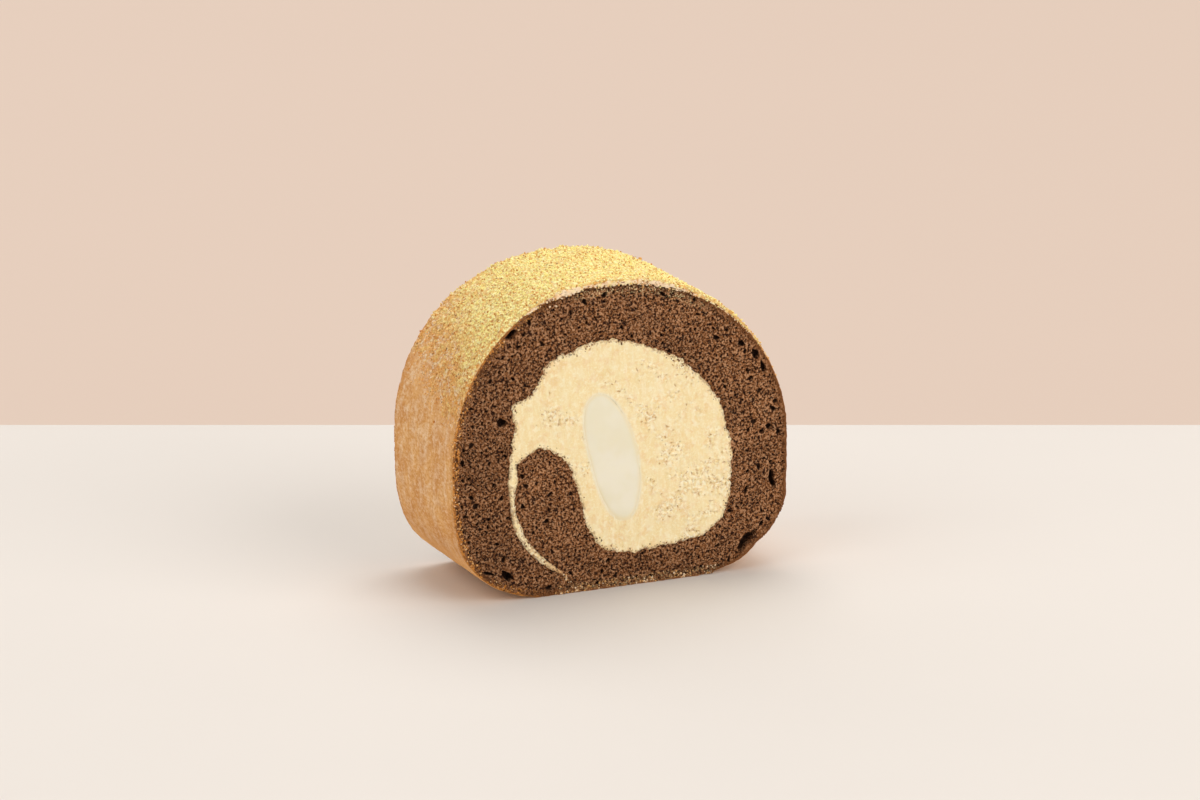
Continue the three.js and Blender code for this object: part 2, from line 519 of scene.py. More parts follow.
def cut_solid(name, rims, ends, rings, material, attributes):
    """A solid between two ends (level, face, detailed), with walls through the rings' levels."""
    (low, front, front_fine), (high, back, back_fine) = ends
    rim = np.concatenate(rims)
    count = len(rim)
    layers = [np.insert(rim, 1, level, axis=1) for level in rings]
    near = np.insert(front.points, 1, low + front.depth, axis=1)
    far = np.insert(back.points, 1, high - back.depth, axis=1)
    points = np.vstack([near, *layers, far])
    firsts = [0] + [len(near) + k * count for k in range(len(rings))]
    firsts.append(len(near) + len(rings) * count)
    wide = np.ptp(rim[:, 0])
    fine = front_fine + back_fine
    scale = 0.98 / fine / wide
    small = 0.1 / wide
    groups, left = [], 0.005
    for face, is_fine, first, flip in ((front, front_fine, 0, 1), (back, back_fine, firsts[-1], -1)):
        flat = (face.points - rim.min(axis=0)) * (scale if is_fine else small)
        corner = np.array([left, 0.005]) if is_fine else np.array([0.005, 0.93])
        left += is_fine / fine
        triangles = face.triangles[:, ::flip]
        groups.append((triangles + first, (flat + corner)[triangles]))
    top = 0.02 + np.ptp(rim[:, 1]) * scale
    tall = (0.92 - top) / (len(firsts) - 1)
    ahead, start = np.zeros(count, dtype=int), 0
    for loop in rims:
        ahead[start:start + len(loop)] = start + (np.arange(len(loop)) + 1) % len(loop)
        start += len(loop)
    here = np.arange(count)
    for k, (a, b) in enumerate(zip(firsts, firsts[1:])):
        faces = np.stack([a + here, b + here, b + ahead, a + ahead], axis=1)
        u0, u1 = here / count, (here + 1) / count
        v0, v1 = np.full(count, top + k * tall), np.full(count, top + (k + 0.96) * tall)
        groups.append((faces, map_corners(u0, u1, v0, v1)))
    walls = np.zeros(count * len(rings))
    fields = {key: field(points) for key, field in attributes.items()}
    fields["pore"] = np.concatenate([front.shade, walls, back.shade])
    return build_piece(name, points, groups, material, fields)


def banded_piece(name, grid, material, attributes, wrap, strips):
    """A closed band: a grid of points whose rows close on themselves round its section."""
    columns, rows = grid.shape[:2]
    spans = columns if wrap else columns - 1
    column, row = (a.ravel() for a in np.meshgrid(np.arange(spans), np.arange(rows), indexing="ij"))
    after, above = (column + 1) % columns, (row + 1) % rows
    corners = ((column, row), (column, above), (after, above), (after, row))
    faces = np.stack([c * rows + r for c, r in corners], axis=1)
    section = np.linalg.norm(np.roll(grid, -1, axis=1) - grid, axis=2).mean(axis=0)
    reach = np.concatenate([[0], np.cumsum(section)]) / section.sum() * 0.97
    strip_length = math.ceil(spans / strips)
    strip = column // strip_length
    u0 = (column % strip_length) / strip_length * 0.99
    u1 = u0 + 0.99 / strip_length
    v0, v1 = (strip + reach[row]) / strips, (strip + reach[row + 1]) / strips
    groups = [(faces, map_corners(u0, u1, v0, v1))]
    if not wrap:
        fan = np.arange(1, rows - 1)
        for first, flip in ((0, -1), ((columns - 1) * rows, 1)):
            cap = np.stack([np.zeros_like(fan), fan, fan + 1], axis=1)[:, ::flip] + first
            groups.append((cap, np.full((len(cap), 3, 2), 0.995)))
    return build_piece(name, grid.reshape(-1, 3), groups, material, attributes)


def ball_template():
    """Points and triangles of a small ball, and its map: seen from above, then from below."""
    ball = bmesh.new()
    bmesh.ops.create_icosphere(ball, subdivisions=1, radius=1.0)
    points = np.array([v.co[:] for v in ball.verts])
    faces = np.array([[v.index for v in f.verts] for f in ball.faces])
    ball.free()
    middle = points[faces].mean(axis=1)
    places = points[faces][:, :, :2] * 0.23 + 0.25
    places[:, :, 0] += np.where(middle[:, 2] > 0, 0.0, 0.5)[:, None]
    places[:, :, 1] *= 1.9
    return points, faces, places


def on_cuts(places, sunk):
    """Points this far under the cuts: the first half of the places in front, the rest behind."""
    front = np.arange(len(places)) < len(places) / 2
    return np.insert(places, 1, np.where(front, FRONT + sunk, BACK - sunk), axis=1)


def scattered_piece(name, centres, sizes, rng, material, rough, **fields):
    """Many small rounded bits as one mesh, each turned and squashed its own way."""
    ball, faces, places = ball_template()
    count = len(centres)
    turn = rng.normal(size=(count, 3, 3))
    turn, _ = np.linalg.qr(turn)
    turn *= np.sign(np.linalg.det(turn))[:, None, None]
    squash = rng.uniform(0.7, 1.15, (count, 1, 3))
    wobble = 1 + rough * rng.uniform(-1, 1, (count, len(ball), 1))
    bits = (ball[None] * wobble * squash) @ turn * (sizes / 2)[:, None, None]
    points = (bits + centres[:, None]).reshape(-1, 3)
    points[:, 2] = np.maximum(points[:, 2], 0)
    many = (faces[None] + len(ball) * np.arange(count)[:, None, None]).reshape(-1, 3)
    across = math.ceil(math.sqrt(count))
    cell = np.stack([np.arange(count) % across, np.arange(count) // across], axis=1)
    spread = (places[None] * 0.98 + cell[:, None, None]) / across
    fields["shade"] = rng.random(count)
    fields = {key: np.repeat(values, len(ball)) for key, values in fields.items()}
    return build_piece(name, points, [(many, spread.reshape(-1, 3, 2))], material, fields)


# ---------------------------------------------------------------- shader graphs


class Value:
    """An output socket that takes part in arithmetic; each operator adds a Math node."""

    def __init__(self, graph, socket):
        self.graph = graph
        self.socket = socket

    def __add__(self, other):
        return self.graph.maths("ADD", self, other)

    def __sub__(self, other):
        return self.graph.maths("SUBTRACT", self, other)

    def __rsub__(self, other):
        return self.graph.maths("SUBTRACT", other, self)

    def __mul__(self, other):
        return self.graph.maths("MULTIPLY", self, other)

    __radd__ = __add__
    __rmul__ = __mul__


class Graph:
    """The node tree of one finish, whose shade is built up in layers."""

    def __init__(self, name):
        self.material = bpy.data.materials.new(name)
        self.material.use_nodes = True
        self.tree = self.material.node_tree
        self.tree.nodes.clear()
        self.place = self.node("ShaderNodeTexCoord", output="Object")
        self.shade = None

    def node(self, kind, settings=None, inputs=None, output=0):
        """Adds a node: its settings first, then the values or links of its sockets."""
        node = self.tree.nodes.new(kind)
        for key, value in (settings or {}).items():
            if key == "stops":
                ramp = node.color_ramp
                while len(ramp.elements) < len(value):
                    ramp.elements.new(1.0)
                for element, (position, shade) in zip(ramp.elements, value):
                    element.position = position
                    element.color = (*shade, 1.0)
            else:
                setattr(node, key, value)
        for key, value in (inputs or {}).items():
            socket = node.inputs[key]
            if isinstance(value, Value):
                self.tree.links.new(value.socket, socket)
            elif socket.type == "RGBA":
                socket.default_value = (*value, 1.0)
            else:
                socket.default_value = value
        return Value(self, node.outputs[output]) if len(node.outputs) else None

    def maths(self, operation, *values):
        """A Math node on one value or two."""
        return self.node("ShaderNodeMath", {"operation": operation}, dict(enumerate(values)))

    def noise(self, millimetres, detail=2.0, roughness=0.5, place=None):
        """Noise whose lumps are about this wide, centred on 0.5."""
        return self.node("ShaderNodeTexNoise", {}, {
            "Vector": place or self.place, "Scale": 1 / (millimetres * MM),
            "Detail": detail, "Roughness": roughness,
        })

    def cells(self, millimetres, output="Distance"):
        """Cellular texture: distance to the nearest of points this far apart."""
        return self.node("ShaderNodeTexVoronoi", {}, {
            "Vector": self.place, "Scale": 1 / (millimetres * MM),
        }, output)

    def stretched(self, turn, factors):
        """The place turned about the roll's axis and scaled, for streaks."""
        turned = self.node("ShaderNodeVectorRotate", {"rotation_type": "Y_AXIS"}, {
            "Vector": self.place, "Angle": turn,
        })
        return self.node("ShaderNodeVectorMath", {"operation": "MULTIPLY"}, {
            0: turned, 1: factors,
        })

    def field(self, name):
        """A number stored on the piece's points."""
        return self.node("ShaderNodeAttribute", {"attribute_name": name}, output="Fac")

    def between(self, value, low, high):
        """0 where the value is below low, 1 above high, and smooth between."""
        return self.node("ShaderNodeMapRange", {"interpolation_type": "SMOOTHSTEP"}, {
            "Value": value, "From Min": low, "From Max": high,
        })

    def patches(self, millimetres, low, high, detail=3.0, roughness=0.6):
        """Random patches about this wide: more noise than `low` to `high` counts as one."""
        return self.between(self.noise(millimetres, detail, roughness), low, high)

    def mix(self, share, first, second):
        """Blend of two colours."""
        return self.node("ShaderNodeMix", {"data_type": "RGBA"}, {
            0: share, 6: first, 7: second,
        }, 2)

    def bump(self, height, millimetres, strength=1.0):
        """Normal of a fine relief this deep."""
        return self.node("ShaderNodeBump", {}, {
            "Height": height, "Distance": millimetres * MM, "Strength": strength,
        })

    def lay(self, share, colour_on_top):
        """Lays a colour over the shade so far, as thickly as its share says."""
        self.shade = self.mix(share, self.shade, colour_on_top)

    def finish(self, roughness, gloss, normal, more=None):
        """Ends the graph in a Principled surface and returns the material."""
        surface = self.node("ShaderNodeBsdfPrincipled", {}, {
            "Base Color": self.shade, "Roughness": roughness, "Specular IOR Level": gloss,
            "Normal": normal, **(more or {}),
        })
        self.node("ShaderNodeOutputMaterial", {}, {"Surface": surface})
        return self.material


def scaled(shade, factor):
    """The colour, this many times as bright."""
    return tuple(factor * c for c in shade)


def sponge_finish(colours):
    """Open chocolate crumb: mottled brown with pale flecks (partly painted highlights), near-black
    pores and painted shade under the crown's rim, on the left and along the foot.
    """
    g = Graph("chocolate_sponge")
    g.shade = g.node("ShaderNodeValToRGB", {"stops": (
        (0.43, colours.sponge_dark),
        (0.48, colours.sponge),
        (0.55, scaled(colours.sponge, 1.25)),
        (0.64, colours.sponge_light),
    )}, {"Fac": g.noise(0.58, 3.0, 0.6)})
    # Pale flecks, partly painted highlights on the crumb's relief.
    flecks = g.patches(0.48, 0.55, 0.62, 2.0, 0.5)
    g.lay(flecks * 0.78, colours.sponge_light)
    broad = g.patches(7.0, 0.35, 0.7, 2.0, 0.5)
    g.lay(broad * 0.16 + g.field("low") * 0.1, colours.sponge_dark)
    g.lay(g.field("rind") * 0.55, colours.rind)
    g.lay(g.field("shaded") * 0.6, colours.sponge_dark)
    # Painted shade in patches along the foot of the cut.
    foot_shade = g.patches(0.8, 0.44, 0.56) * g.field("foot")
    g.lay(foot_shade * 0.75, colours.sponge_dark)
    dust = g.patches(0.5, 0.52, 0.62, 3.0, 0.65) * g.field("dust")
    g.lay(dust * 0.75, colours.cream)
    # Painted shade: small dark pinholes laid in the crumb, with a matching dent in the bump.
    pinholes = g.between(g.cells(0.62), 0.34, 0.2) * g.patches(1.6, 0.4, 0.55, 2.0, 0.5)
    g.lay(pinholes * 0.85, colours.pore)
    # Painted shade inside the pits cut into the face.
    g.lay(g.between(g.field("pore"), 0.05, 0.75) * 0.94, colours.pore)
    relief = g.noise(0.42, 3.0, 0.6) - pinholes * 0.8
    return g.finish(0.92, 0.2, g.bump(relief, 0.3, 1.0))


def skin_finish(colours):
    """Baked skin under a thin film of powder, and its orange or brown cut edge."""
    g = Graph("baked_skin")
    speckle = g.noise(0.6, 3.0, 0.65, g.stretched(0.0, (1.0, 0.6, 1.0)))
    cloud = g.patches(6.0, 0.35, 0.65, 4.0)
    g.shade = g.mix(cloud, colours.skin_deep, colours.skin)
    streaks = g.noise(2.4, 3.0, 0.6, g.stretched(0.0, (1.0, 1.0, 0.3)))
    g.lay(g.between(streaks, 0.5, 0.68) * 0.4, colours.pale)
    g.lay(g.patches(3.6, 0.5, 0.66, 4.0) * 0.35, colours.pale)
    g.lay(g.between(speckle, 0.53, 0.62) * 0.42, colours.pale)
    g.lay(g.between(speckle, 0.47, 0.38) * 0.55, colours.skin_edge)
    toasted = g.field("rim") * g.patches(0.7, 0.42, 0.56)
    g.lay(toasted * 0.75, colours.skin_edge)
    burnt = g.field("rim") * g.patches(0.55, 0.53, 0.64)
    g.lay(burnt * 0.7, colours.rind)
    g.lay(g.field("low") * 0.4, colours.skin_edge)
    # Painted light: the lowest part of the side is brightened as if by light bounced off the table.
    bright = scaled(colours.skin, 1.2)
    g.lay(g.between(g.field("low"), 0.62, 1.0) * 0.8, bright)
    g.lay(g.field("crown") * 0.2, colours.powder_dark)
    film = g.field("crown") * g.patches(1.2, 0.42, 0.6)
    g.lay(film * 0.65, colours.pale)
    edge = g.mix(g.field("toast"), colours.rind, colours.skin_edge)
    edge = g.mix(g.patches(0.9, 0.42, 0.56) * 0.8, edge, colours.rind)
    g.lay(g.field("edge"), edge)
    return g.finish(0.85, 0.25, g.bump(speckle + cloud * 0.3, 0.16, 0.8))


def powder_finish(colours):
    """Golden roasted powder: packed pale grains, with painted shade in the gaps between them."""
    g = Graph("roasted_powder")
    gaps = g.between(g.cells(0.7), 0.42, 0.66)
    own = g.cells(0.7, output="Color")
    thin = g.field("thin")
    g.shade = g.mix(g.between(own, 0.4, 0.85), colours.powder, colours.powder_light)
    bright = scaled(colours.skin, 1.2)
    tan = g.mix(g.between(own, 0.3, 0.7), colours.skin, bright)
    g.lay(thin * (g.patches(1.6, 0.35, 0.6, 3.0, 0.5) * 0.35 + 0.64), tan)
    patches = (thin + 0.12) * g.patches(2.5, 0.47, 0.6)
    g.lay(patches * 0.8, colours.pale)
    toasted = g.between(own, 0.22, 0.12) * 0.5 + g.field("rim") * g.between(own, 0.6, 0.4) * 0.3
    g.lay(toasted, colours.powder_dark)
    # Painted shade in the gaps between grains, from the cells' edges and the coat's pebbles.
    g.lay(gaps * 0.5, colours.powder_dark)
    g.lay(g.between(g.field("gap"), 0.2, 0.85) * 0.75, colours.powder_dark)
    dots = g.between(g.cells(0.9), 0.34, 0.2) * g.between(g.noise(1.8) + thin * 0.1, 0.4, 0.55)
    g.lay(dots * 0.75, colours.skin_edge)
    specks = g.between(g.cells(1.3), 0.24, 0.14) * g.patches(3.0, 0.42, 0.55, 2.0, 0.5)
    g.lay(specks * 0.7, colours.rind)
    relief = g.noise(0.3, 3.0, 0.6) - gaps
    return g.finish(0.95, 0.15, g.bump(relief, 0.2, 0.9))


def grain_finish(colours):
    """Loose grains, each its own shade of gold."""
    g = Graph("powder_grains")
    own = g.field("shade")
    g.shade = g.mix(g.between(own, 0.4, 0.95), colours.powder, colours.powder_light)
    g.lay(g.field("thin") * 0.85, scaled(colours.skin, 1.12))
    g.lay(g.between(own, 0.3, 0.16) * 0.8, colours.powder_dark)
    g.lay(g.between(own, 0.1, 0.05) * 0.7, colours.skin_edge)
    g.lay(g.patches(0.25, 0.5, 0.7, 2.0, 0.5) * 0.3, colours.powder_dark)
    return g.finish(0.95, 0.15, g.bump(g.noise(0.15), 0.05, 0.6))


def rim_finish(colours):
    """Pale dust caked in lumps on the rim of a cut."""
    g = Graph("caked_rim")
    own = g.field("shade")
    g.shade = g.mix(g.between(own, 0.1, 0.5), colours.skin, colours.pale)
    g.lay(g.between(own, 0.85, 0.95), colours.powder)
    g.lay(g.patches(1.4, 0.5, 0.62, 3.0, 0.5) * 0.35, colours.powder)
    g.lay(g.patches(0.7, 0.56, 0.68, 3.0, 0.5) * 0.5, colours.rind)
    return g.finish(0.95, 0.15, g.bump(g.noise(0.25, 3.0), 0.12, 0.9))


def bit_finish(colours):
    """Toasted bits of skin at its cut edge: orange and pale on the left, brown on the right."""
    g = Graph("skin_bits")
    own = g.field("shade")
    g.shade = g.mix(g.between(own, 0.22, 0.36), colours.rind, colours.skin_edge)
    g.lay(g.between(own, 0.6, 0.85), colours.skin)
    g.lay(g.between(own, 0.88, 0.94) * 0.4, colours.pale)
    g.lay(g.between(own, 0.12, 0.06), colours.sponge_dark)
    g.shade = g.mix(g.field("toast"), colours.rind, g.shade)
    g.lay(g.patches(0.4, 0.5, 0.62, 3.0, 0.5) * 0.5, colours.rind)
    return g.finish(0.9, 0.2, g.bump(g.noise(0.2, 3.0), 0.08, 0.8))


def cream_finish(colours):
    """Whipped cream cut with a knife: faint streaks, pale bits, and tiny cracks and pits darkened with
    painted shade.
    """
    g = Graph("whipped_cream")
    streaks = g.noise(1.1, 3.0, 0.6, g.stretched(0.1, (1.0, 1.0, 0.3)))
    g.shade = g.mix(g.between(streaks, 0.4, 0.66) * 0.4, colours.cream, colours.cream_light)
    grain = g.noise(0.5, 3.0, 0.7)
    g.lay(g.between(grain, 0.5, 0.64) * 0.6, colours.cream_light)
    g.lay(g.patches(2.6, 0.5, 0.66) * 0.24, colours.skin)
    g.lay(g.patches(1.6, 0.54, 0.66) * 0.6, colours.cream_light)
    ridge = g.maths("ABSOLUTE", g.noise(1.5, 2.0, 0.5) - 0.5)
    cracked = g.field("crumbly") * g.patches(1.0, 0.46, 0.58, 2.0, 0.5)
    cracks = g.between(ridge, 0.07, 0.02) * cracked
    # Painted shadow in the small tears of the crumbly cream.
    g.lay(cracks * 0.42, colours.cream_dark)
    # Paler patches in the crumbly parts of the cream.
    paler_patches = g.patches(0.8, 0.5, 0.6, 2.0, 0.5) * g.field("crumbly")
    g.lay(paler_patches, colours.cream_light)
    # Painted shade inside the cream's pits.
    g.lay(g.field("pore") * 0.55, colours.cream_dark)
    g.lay(g.field("tail") * 0.7, colours.skin_edge)
    ragged = g.between(g.field("border") + (g.noise(0.6, 3.0) - 0.5) * 1.8, 0.65, 1.15)
    g.lay(ragged * 0.65, colours.crumb)
    g.lay(g.field("beside") * 0.7, colours.rice_cake)
    return g.finish(0.6, 0.3, g.bump(grain + streaks * 0.4 - cracks, 0.14, 0.7), {
        "Subsurface Weight": 0.12, "Subsurface Radius": (1.0, 0.7, 0.4),
        "Subsurface Scale": 0.6 * MM,
    })


def rice_cake_finish(colours):
    """Smooth, milky rice cake that lets a little light through."""
    g = Graph("rice_cake")
    cloud = g.noise(7.0, 2.0, 0.5)
    dim = tuple(c * k for c, k in zip(colours.rice_cake, (0.97, 0.96, 0.9)))
    g.shade = g.mix(g.between(cloud, 0.35, 0.65), dim, colours.rice_cake)
    g.lay(g.field("border") * 0.6, colours.cream)
    return g.finish(0.42, 0.35, g.bump(g.noise(2.0), 0.03, 0.3), {
        "Subsurface Weight": 0.3, "Subsurface Radius": (1.0, 0.9, 0.6),
        "Subsurface Scale": 1.2 * MM,
    })


def crumb_finish(colours):
    """Loose crumbs of sponge, some dusted pale."""
    g = Graph("loose_crumbs")
    own = g.field("shade")
    light = g.mix(g.between(own, 0.7, 0.95), colours.skin, colours.pale)
    g.shade = g.mix(g.between(own, 0.3, 0.6) * 0.9, colours.crumb, light)
    g.lay(g.patches(0.3, 0.52, 0.64, 3.0, 0.5) * 0.45, colours.sponge)
    return g.finish(0.95, 0.15, g.bump(g.noise(0.25, 3.0), 0.1, 0.8))


# ---------------------------------------------------------------- pieces

CREAM_REACH = 0.65  # how far the cream reaches past its CAD solid, under the core
CORE_REACH = 0.3
OUTSIDE_STEP = 0.35  # spacing of the points of the outside that the sponge is built from
SKIN_STEP = 0.45
POWDER_STEP = 0.27
RIM_STEP = 0.16
RIM_SPACING = 0.85  # spacing of a cut's rim points, as a share of the cut's step
MEETING_STEP = 2.5  # spacing of the points where the sponge's halves meet
KNIFE_STREAKS = (1, 0.35)  # the knife's streaks in the cream are long and upright
CRUMB_STEP = 0.5
SKIN_ROWS = 78  # rows of points along the roll
POWDER_ROWS = 126
RIM_SIDES = 18  # points round the caked rim's section
RIM_ENDS = (-26, 33)  # where the caked rim ends, left and right
BITS_FROM = (-12, 28)  # the skin's bits lie left of the first and right of the second
FOOT_ENDS = (-17, 24.5)  # between these lie the crumbs along the foot
TUCK = 0.12  # how far the skin's rims turn in
POWDER_UNDER = 0.32  # how far the powder reaches into the skin
RIM_CRUMBS = 70  # loose crumbs under each crown's rim
SEAM_CRUMBS = 46

# Wide cavities of the crumb: x, z, radius, stretch, turn in degrees, depth.
CAVITIES = (
    (-28.0, 64.2, 1.35, 1.5, 30, 2.4),
    (-26.0, 61.0, 0.6, 1.3, 0, 1.2),
    (30.9, 55.7, 0.85, 1.6, -40, 1.4),
    (34.6, 52.7, 1.1, 1.5, -50, 1.8),
    (36.6, 49.4, 1.0, 2.0, -65, 1.8),
    (38.1, 34.6, 0.8, 1.3, 0, 1.4),
    (40.6, 33.0, 0.7, 1.4, 60, 1.2),
    (39.1, 21.6, 1.45, 2.9, 100, 2.4),
    (32.5, 7.2, 2.05, 2.9, 41, 2.6),
    (36.3, 10.9, 0.65, 2.0, 40, 1.2),
    (-30.5, 43.6, 1.2, 1.5, -25, 1.8),
    (-40.4, 35.0, 0.65, 1.6, 90, 1.2),
    (-29.2, 6.3, 1.35, 2.2, -40, 2.2),
    (-34.0, 7.5, 0.85, 4.0, -20, 1.4),
    (-18.7, 2.1, 0.75, 1.8, 5, 1.2),
    (-19.2, 18.4, 0.75, 1.2, 0, 1.2),
)


def off_cavities(places):
    """Which (x, z) places on a cut lie clear of its wide cavities."""
    clear = np.ones(len(places), bool)
    for x, z, radius, stretch, _, _ in CAVITIES:
        apart = np.hypot(places[:, 0] - x, places[:, 1] - z)
        clear &= apart > radius * math.sqrt(stretch) + 0.2
    return clear


def without_folds(outline):
    """The outline without the points at which it doubles back on itself."""
    while True:
        before = outline - np.roll(outline, 1, axis=0)
        after = np.roll(outline, -1, axis=0) - outline
        sizes = np.linalg.norm(before, axis=1) * np.linalg.norm(after, axis=1)
        keep = (np.sum(before * after, axis=1) > -0.3 * sizes) & (sizes > 1e-5)
        if keep.all():
            return outline
        outline = outline[keep]


def room_across(outline, apart):
    """Distance from each outline point to the nearest one at least `apart` points along."""
    count = len(outline)
    room = np.full(count, np.inf)
    for shift in range(apart, count - apart):
        gap = np.linalg.norm(outline - np.roll(outline, shift, axis=0), axis=1)
        room = np.minimum(room, gap)
    return room


def sponge_outline(outside, skin, step):
    """Outline of the crumb inside its skin, which reaches a little way under the cream."""
    outline = softened(resampled(cut_outlines("sponge_sheet")[0], step), 0.35)
    deep, normal = outside.depth(outline)
    corner = (outline[:, 0] > 25) & (deep < 1.6)
    outline = outline + normal * np.where(corner, deep - skin, 0)[:, None]
    deep, normal = outside.depth(outline)
    within = ramp_up(deep, 0.8, 2.0)
    room = room_across(outline, round(3 / step)) / 2 - 0.06
    calm = 0.35 + 0.65 * ramp_up(room, 0.8, 2.0)
    push = np.minimum((0.35 + 0.25 * lumps(outline, 0.9, 32)) * calm * within, np.maximum(room, 0))
    outline = outline + outward(outline) * push[:, None]
    for _ in range(2):
        deep, normal = outside.depth(outline)
        outline = outline - normal * np.maximum(skin - deep, 0)[:, None]
    return without_folds(outline)


def crumb_relief(places, seed):
    """Unevenness of torn crumb: how far each place lies under the cut."""
    return layered(places, (0.16, 5.0, seed), (0.14, 1.2, seed + 1), (0.2, 0.62, seed + 2))


def crumb_depth(outside, rim, places, seed):
    """How far crumb lies under the cut: uneven, and lower where cream is smeared over it."""
    smeared = ramp_down(distance_to(places, rim), 0.3, 1.3)
    deep, _ = outside.depth(places)
    return crumb_relief(places, seed) + 0.2 * smeared * ramp_up(deep, 1.5, 2.5)


def under_crown(outside, places, near, far):
    """1 just under the crown's rim, fading from one depth to the next."""
    deep, normal = outside.depth(places)
    return ramp_down(deep, near, far) * ramp_up(normal[:, 1], 0.8, 0.95)


def dusted(outside, places):
    """How much pale dust lies in the crumb: under the crown's rim and along the foot."""
    deep, _ = outside.depth(places)
    crown = under_crown(outside, places, 1.8, 3.6) * ramp_up(deep, 0.9, 1.6)
    crown *= ramp_up(places[:, 0], -14, -6)
    foot = ramp_down(places[:, 1], 1.0, 2.8) * ramp_up(places[:, 0], FOOT_ENDS[0], -13)
    foot *= 0.5 * ramp_down(places[:, 0], 24, 28)
    return np.maximum(crown, foot)


def airiness(outside, places):
    """How likely each place holds a wider pore: more near the skin and in the left side."""
    deep, _ = outside.depth(places)
    base = 0.12 + 0.35 * ramp_down(deep, 3, 9) + 0.25 * ramp_up(-places[:, 0], 18, 34)
    return base * (0.35 + 1.3 * ramp_up(lumps(places, 5.0, 57), -0.3, 0.6))


class ROLL_OT_sponge(bpy.types.Operator):
    """Build the chocolate sponge as two halves with a porous cut each"""

    bl_idname = "roll.sponge"
    bl_label = "Chocolate Sponge"

    def execute(self, context):
        sizes = context.scene.roll_sizes
        step = sizes.crumb_step / MM
        skin = sizes.skin_thickness / MM
        outside = RollOutside(OUTSIDE_STEP)
        rims = [sponge_outline(outside, skin, step * RIM_SPACING)]
        material = sponge_finish(context.scene.roll_colours)
        meeting = plain_face(rims, MEETING_STEP)
        for name, front, seed in (("sponge_front_half", True, 51), ("sponge_back_half", False, 71)):
            rng = np.random.default_rng(seed)
            lattice = lattice_inside(rims, step)
            edge = distance_to(lattice, rims[0])
            pores = Pores()
            for x, z, radius, stretch, turn, depth in CAVITIES:
                pores.add((x, z), radius, stretch, math.radians(turn), depth)
            airy = airiness(outside, lattice) > rng.random(len(lattice))
            widths, depths = (0.28, 0.78), (0.6, 1.2)
            pores.scatter(rng, lattice[airy], edge[airy], sizes.round_pores, widths, depths)
            busy = 0.6 + 0.8 * lumps(lattice, 2.4, 58) > rng.random(len(lattice))
            widths, depths = (0.13, 0.36), (0.3, 0.7)
            pores.scatter(rng, lattice[busy], edge[busy], sizes.small_pores, widths, depths, 2.2)
            inner, deep, shade = pores.pitted(rng, lattice, edge, step, 0.22)
            depth = crumb_depth(outside, rims[0], inner, seed)
            depth += deep + 0.25 * under_crown(outside, inner, 0.8, 1.8)
            face = CutFace(rims, inner, depth, shade)
            face.depth[:len(rims[0])] = crumb_depth(outside, rims[0], rims[0], seed)
            ends = ((FRONT, face, True), (MIDDLE, meeting, False))
            rings = (FRONT + 1.2, FRONT + 7)
            if not front:
                ends = ((MIDDLE, meeting, False), (BACK, face, True))
                rings = (BACK - 7, BACK - 1.2)
            fields = {
                "rind": lambda p: ramp_down(outside.depth(p[:, (0, 2)])[0], skin, 2.4),
                "shaded": lambda p: np.maximum(
                    under_crown(outside, p[:, (0, 2)], 0.9, 2.2), 0.28 * ramp_up(-p[:, 0], 20, 34)
                ),
                "dust": lambda p: dusted(outside, p[:, (0, 2)]),
                "low": lambda p: ramp_down(p[:, 2], 3, 22),
                "foot": lambda p: ramp_down(p[:, 2], 0.6, 3.2),
            }
            piece = cut_solid(name, rims, ends, rings, material, fields)
            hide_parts("sponge_sheet")
        return {"FINISHED"}


def smeared_edge(outline, step):
    """The cream's outline, smeared over the crumb by an uneven way."""
    room = room_across(outline, round(3 / step)) / 2
    calm = 0.3 + 0.7 * ramp_up(room, 0.6, 2.0)
    ragged = layered(outline, (0.5, 1.9, 31), (0.36, 0.9, 32), (0.3, 0.5, 33))
    reach = np.clip((0.4 + ragged) * calm, -0.1, 1.0)
    return without_folds(outline + outward(outline) * reach[:, None])


def crumbliness(places):
    """Where the knife has torn the cream: in patches, more of them right of the core and low."""
    patches = layered(places, (0.7, 6.0, 201), (0.45, 2.5, 202))
    lean = 0.3 * ramp_up(places[:, 0], 0, 14) + 0.25 * ramp_down(places[:, 1], 12, 26) - 0.05
    return ramp_up(patches + lean, 0.0, 0.8)


